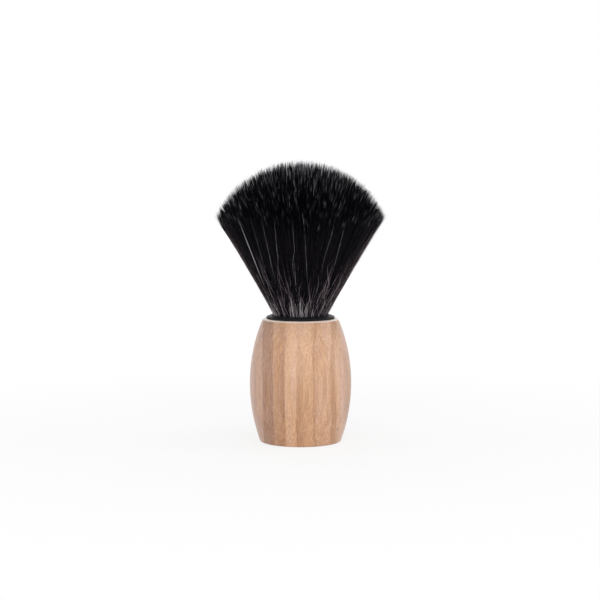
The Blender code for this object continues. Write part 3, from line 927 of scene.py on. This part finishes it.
def loose_fibres(sizes, rng, wavy):
    """Fibres that lie loose. Each kind has its own share of the way out to the rim, thickness and light."""

    def loose(name, material, out, thick, kink=LOOSE_KINK, most_short=MOST_SHORT, spring=0):
        count = len(out)
        angle = rng.uniform(0, math.tau, count)
        roots = on_disc(out, angle, sizes.spread_radius, sizes.root_top)
        tips = on_dome(sizes, out, angle + rng.normal(0, LOOSE_WANDER, count))
        tips = shorter(roots, tips, rng.uniform(LEAST_SHORT, most_short, count))
        sideways = on_disc(np.ones(count), angle + math.pi / 2, 1, 0)
        bow = rng.normal(LOOSE_BOW, spring, (count, 1))
        sway = sideways * rng.normal(0, LOOSE_SWAY, (count, 1)) + on_disc(out, angle, 1, 0) * bow
        ripple = sideways * rng.normal(0, kink, (count, 1))
        waves = rng.uniform(*LOOSE_WAVES, count)
        piece = bundle(
            name,
            wavy,
            lines(WAVY, roots, tips, np.zeros((count, 3)), sway, ripple, waves),
            thick * rng.uniform(*LOOSE_THICKNESS, count),
            rng.integers(0, SHADES, count),
            rng.uniform(0, math.tau, count),
        )
        dress(piece, material, "fibre", "fibre_bundle")
        return piece

    words = "loose PBT fibre, lit along its length"
    lit = glinting_fibre(words, sizes.body, sizes.glint, low=0.2, high=0.85, stretch=0.18)
    shares = rng.uniform(0.97, 1.0, sizes.loose)
    loose("loose_fibres", lit, shares, thick=0.06 * MM)

    words = "loose PBT fibre, lit near its tip"
    lit = glinting_fibre(words, sizes.body, sizes.glint, low=0.93, high=0.98, stretch=0.05)
    shares = 0.85 * rng.uniform(0, 1, sizes.lit_tips) ** 0.7
    loose("tip_lit_fibres", lit, shares, thick=0.1 * MM)

    words = "loose PBT fibre, lit by the ring"
    lit = glinting_fibre(words, sizes.body, sizes.glint, low=0.0, high=0.12, stretch=0.16)
    shares = rng.uniform(0.98, 1.01, sizes.lit_roots)
    loose("root_lit_fibres", lit, shares, thick=0.15 * MM)

    # Painted light: a stretch of each kinked fibre is painted lit
    words = "loose PBT fibre, kinked"
    lit = glinting_fibre(words, sizes.body, sizes.kink_glint, low=0.02, high=0.46, stretch=0.25)
    shares = rng.uniform(0.975, 1.012, sizes.kinked)
    loose("kinked_fibres", lit, shares, thick=0.08 * MM, kink=1.5 * MM)

    shares = rng.uniform(0.97, 1.003, sizes.sheeny)
    sheeny = sheeny_fibre(sizes)
    combed = loose("combed_fibres", sheeny, shares, thick=0.07 * MM, most_short=9 * MM, spring=0.25 * MM)
    face_out(combed)


def stray_fibres(sizes, rng, wavy):
    """The few fibres that cross the front at a slant."""
    leave, end, middle, thick = np.array(STRAYS).T
    count = len(STRAYS)
    outside = np.full(count, STRAY_OUT)
    roots = on_disc(outside, np.radians(leave), sizes.spread_radius, sizes.root_top)
    tips = on_dome(sizes, outside, np.radians(end))
    column = (middle - STRAY_LOW) / (STRAY_HIGH - STRAY_LOW) * (SHADES - 1)
    sideways = on_disc(outside, np.radians(leave) + math.pi / 2, 1, 0)
    still = np.zeros((count, 3))
    ripple = sideways * rng.normal(0, STRAY_RIPPLE, (count, 1))
    stray = bundle(
        "stray_fibres",
        wavy,
        lines(WAVY, roots, tips, still, still, ripple, rng.uniform(*STRAY_WAVES, count)),
        thick * MM,
        np.round(column).astype(int),
        rng.uniform(0, math.tau, count),
    )
    words = "stray PBT fibre, lit along its length"
    lit = glinting_fibre(words, sizes.body, sizes.stray, STRAY_LOW, STRAY_HIGH, stretch=0.36)
    dress(stray, lit, "fibre", "fibre_bundle")


def bound_root(sizes):
    """The root that holds the fibres, with the slot that its binding lies in."""
    slot = sizes.root_radius - sizes.slot_depth
    root = turned(
        "bound_root",
        [
            (0, sizes.root_top),
            (sizes.root_radius, sizes.root_top),
            (sizes.root_radius, sizes.slot_top),
            (slot, sizes.slot_top),
            (slot, sizes.slot_bottom),
            (sizes.root_radius, sizes.slot_bottom),
            (sizes.root_radius, sizes.root_bottom),
            (0, sizes.root_bottom),
        ],
    )
    in_resin = clouded("fibre root, set in resin", sizes.bound, roughness=0.4, grit=0.4)
    dress(root, in_resin, "fibre", "fibre_bundle")


class BRUSH_OT_fibres(bpy.types.Operator):
    """Set the fibres in their bound root"""

    bl_idname = "brush.fibres"
    bl_label = "Fibre Head"

    def execute(self, context):
        sizes = context.scene.brush_fibres
        rng = np.random.default_rng(FIBRE_SEED)
        straight = one_fibre(STRAIGHT)
        wavy = one_fibre(WAVY)
        head(sizes, rng, straight, wavy)
        loose_fibres(sizes, rng, wavy)
        stray_fibres(sizes, rng, wavy)
        bound_root(sizes)
        return {"FINISHED"}


# How finely the thread is divided, round itself and round the brush
THREAD_SIDES = 10
THREAD_STEPS = 48


class BRUSH_OT_inner(bpy.types.Operator):
    """Finish the pieces inside the socket"""

    bl_idname = "brush.inner"
    bl_label = "Inner Pieces"

    def execute(self, context):
        sizes = context.scene.brush_inner
        resin = clouded("black polyurethane resin, cast", sizes.resin, roughness=0.35, grit=2.0)
        glue = clouded("epoxy glue, cured", sizes.glue, roughness=0.25, grit=3.0)
        for node, material in (("root_plug", resin), ("handle_adhesive", glue)):
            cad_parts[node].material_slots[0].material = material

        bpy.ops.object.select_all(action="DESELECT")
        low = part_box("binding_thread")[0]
        bpy.ops.mesh.primitive_circle_add(
            vertices=THREAD_SIDES,
            radius=sizes.thread_radius,
            location=(sizes.winding_radius, 0, low.z + sizes.thread_radius),
            rotation=(math.pi / 2, 0, 0),
        )
        thread = bpy.context.object
        thread.name = thread.data.name = "waxed_thread"
        bpy.ops.object.transform_apply(location=True, rotation=True, scale=True)
        bpy.ops.object.modifier_add(type="SCREW")
        screw = thread.modifiers[0]
        screw.steps = screw.render_steps = THREAD_STEPS
        screw.iterations = sizes.thread_turns
        screw.screw_offset = sizes.thread_pitch
        bpy.ops.object.modifier_apply(modifier=screw.name)
        bpy.ops.object.mode_set(mode="EDIT")
        bpy.ops.mesh.select_all(action="SELECT")
        bpy.ops.mesh.fill_holes(sides=0)
        bpy.ops.mesh.normals_make_consistent(inside=False)
        bpy.ops.object.mode_set(mode="OBJECT")
        bpy.ops.object.shade_smooth_by_angle(angle=SMOOTH_ANGLE)
        cotton = clouded("cotton thread, waxed and wound", sizes.thread, roughness=0.7, grit=0.3)
        dress(thread, cotton, "thread", "binding_thread")
        return {"FINISHED"}


# Plain soft light: each softbox's place and size in m, and its power in W
SOFTBOXES = (
    ("front softbox", (0, -0.9, 0.38), (1.2, 0.9), 7.4),
    ("top softbox", (0, 0.1, 0.9), (0.9, 0.9), 2.4),
    ("left softbox", (-0.9, -0.1, 0.35), (0.6, 0.8), 1.5),
    ("right softbox", (0.9, -0.1, 0.35), (0.6, 0.8), 3.0),
    ("back softbox", (0, 0.8, 0.5), (1.2, 0.9), 1.2),
)
WORLD_LIGHT = 0.25

# The floor's own white by the brush, and how far from it, in m, that begins to rise and is full
FLOOR_WHITE = 0.8
FLOOR_FADE = (0.04, 0.22)
FLOOR_SIDES = 96
SENSOR_WIDTH = 36


def softbox(name, place, aim, size, power):
    """A soft rectangular light that faces a point."""
    bpy.ops.object.light_add(type="AREA", location=place)
    light = bpy.context.object
    light.name = light.data.name = name
    light.data.shape = "RECTANGLE"
    light.data.size, light.data.size_y = size
    light.data.energy = power
    light.rotation_euler = (Vector(aim) - Vector(place)).to_track_quat("-Z", "Y").to_euler()


def seen_directly(tree):
    """1 for camera, glossy and transmission rays, which show the background, and 0 for other light."""
    path = add(tree, "LightPath").node.outputs
    either = {"operation": "ADD", "use_clamp": True}
    seen = add(tree, "Math", [path["Is Camera Ray"], path["Is Glossy Ray"]], **either)
    return add(tree, "Math", [seen, path["Is Transmission Ray"]], **either)


class BRUSH_OT_stage(bpy.types.Operator):
    """Set the floor, the light and the camera"""

    bl_idname = "brush.stage"
    bl_label = "Stage"

    def execute(self, context):
        sizes = context.scene.brush_stage
        scene = context.scene
        scene.view_settings.view_transform = "Standard"

        # White paper floor: it shows a faint shadow by the brush, and fades to the white of the backdrop
        bpy.ops.object.select_all(action="DESELECT")
        bpy.ops.mesh.primitive_circle_add(
            vertices=FLOOR_SIDES,
            radius=sizes.floor_radius,
            fill_type="NGON",
            location=(0, 0, -sizes.floor_gap),
        )
        floor = context.object
        floor.name = floor.data.name = "floor"
        material, tree, shader = new_material("matt white paper floor")
        shader.inputs["Base Color"].default_value = opaque(sizes.floor)
        shader.inputs["Roughness"].default_value = 0.9
        place = add(tree, "TexCoord", out="Object")
        reach = add(tree, "VectorMath", [place], out="Value", operation="LENGTH")
        far = add(tree, "MapRange", [reach, *FLOOR_FADE, FLOOR_WHITE, 1])
        share = add(tree, "Math", [far, seen_directly(tree)], operation="MULTIPLY")
        glow = add(tree, "Emission", {"Color": (1, 1, 1, 1), "Strength": 1})
        paper = add(tree, "MixShader", [share, shader.outputs[0], glow])
        from_below = add(tree, "NewGeometry", out="Backfacing")
        mix = add(tree, "MixShader", [from_below, paper, add(tree, "BsdfTransparent")])
        tree.links.new(mix, tree.nodes["Material Output"].inputs["Surface"])
        floor.data.materials.append(material)

        aim = (0, 0, sizes.aim_height)
        for name, place, size, power in SOFTBOXES:
            softbox(name, place, aim, size, power)

        world = bpy.data.worlds.new("white studio")
        world.use_nodes = True
        tree = world.node_tree
        soft = add(tree, "Background", {"Color": (1, 1, 1, 1), "Strength": WORLD_LIGHT})
        white = add(tree, "Background", {"Color": (1, 1, 1, 1), "Strength": 1})
        mix = add(tree, "MixShader", [seen_directly(tree), soft, white])
        tree.links.new(mix, tree.nodes["World Output"].inputs["Surface"])
        scene.world = world

        bpy.ops.object.camera_add(location=(sizes.camera_side, -sizes.camera_back, sizes.camera_height))
        camera = context.object
        sight = Vector((sizes.camera_side, 0, sizes.aim_height)) - camera.location
        camera.rotation_euler = sight.to_track_quat("-Z", "Y").to_euler()
        camera.data.lens = sizes.lens
        camera.data.sensor_width = SENSOR_WIDTH
        scene.camera = camera
        return {"FINISHED"}


class BRUSH_PT_panel(bpy.types.Panel):
    """Lists the steps that build the brush"""

    bl_idname = "BRUSH_PT_panel"
    bl_label = "Shaving Brush"
    bl_space_type = "VIEW_3D"
    bl_region_type = "UI"
    bl_category = "Brush"

    def draw(self, context):
        for step in STEPS:
            self.layout.operator(step.bl_idname)


STEPS = (BRUSH_OT_handle, BRUSH_OT_ring, BRUSH_OT_fibres, BRUSH_OT_inner, BRUSH_OT_stage)
GROUPS = {
    "brush_handle": HandleSettings,
    "brush_ring": RingSettings,
    "brush_fibres": FibreSettings,
    "brush_inner": InnerSettings,
    "brush_stage": StageSettings,
}


def register():
    for name, group in GROUPS.items():
        bpy.utils.register_class(group)
        setattr(bpy.types.Scene, name, bpy.props.PointerProperty(type=group))
    for step in (*STEPS, BRUSH_PT_panel):
        bpy.utils.register_class(step)


def unregister():
    for step in (BRUSH_PT_panel, *reversed(STEPS)):
        bpy.utils.unregister_class(step)
    for name, group in GROUPS.items():
        delattr(bpy.types.Scene, name)
        bpy.utils.unregister_class(group)


def main():
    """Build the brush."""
    register()
    bpy.ops.brush.handle()
    bpy.ops.brush.ring()
    bpy.ops.brush.fibres()
    bpy.ops.brush.inner()
    bpy.ops.brush.stage()


if __name__ == "__main__":
    main()
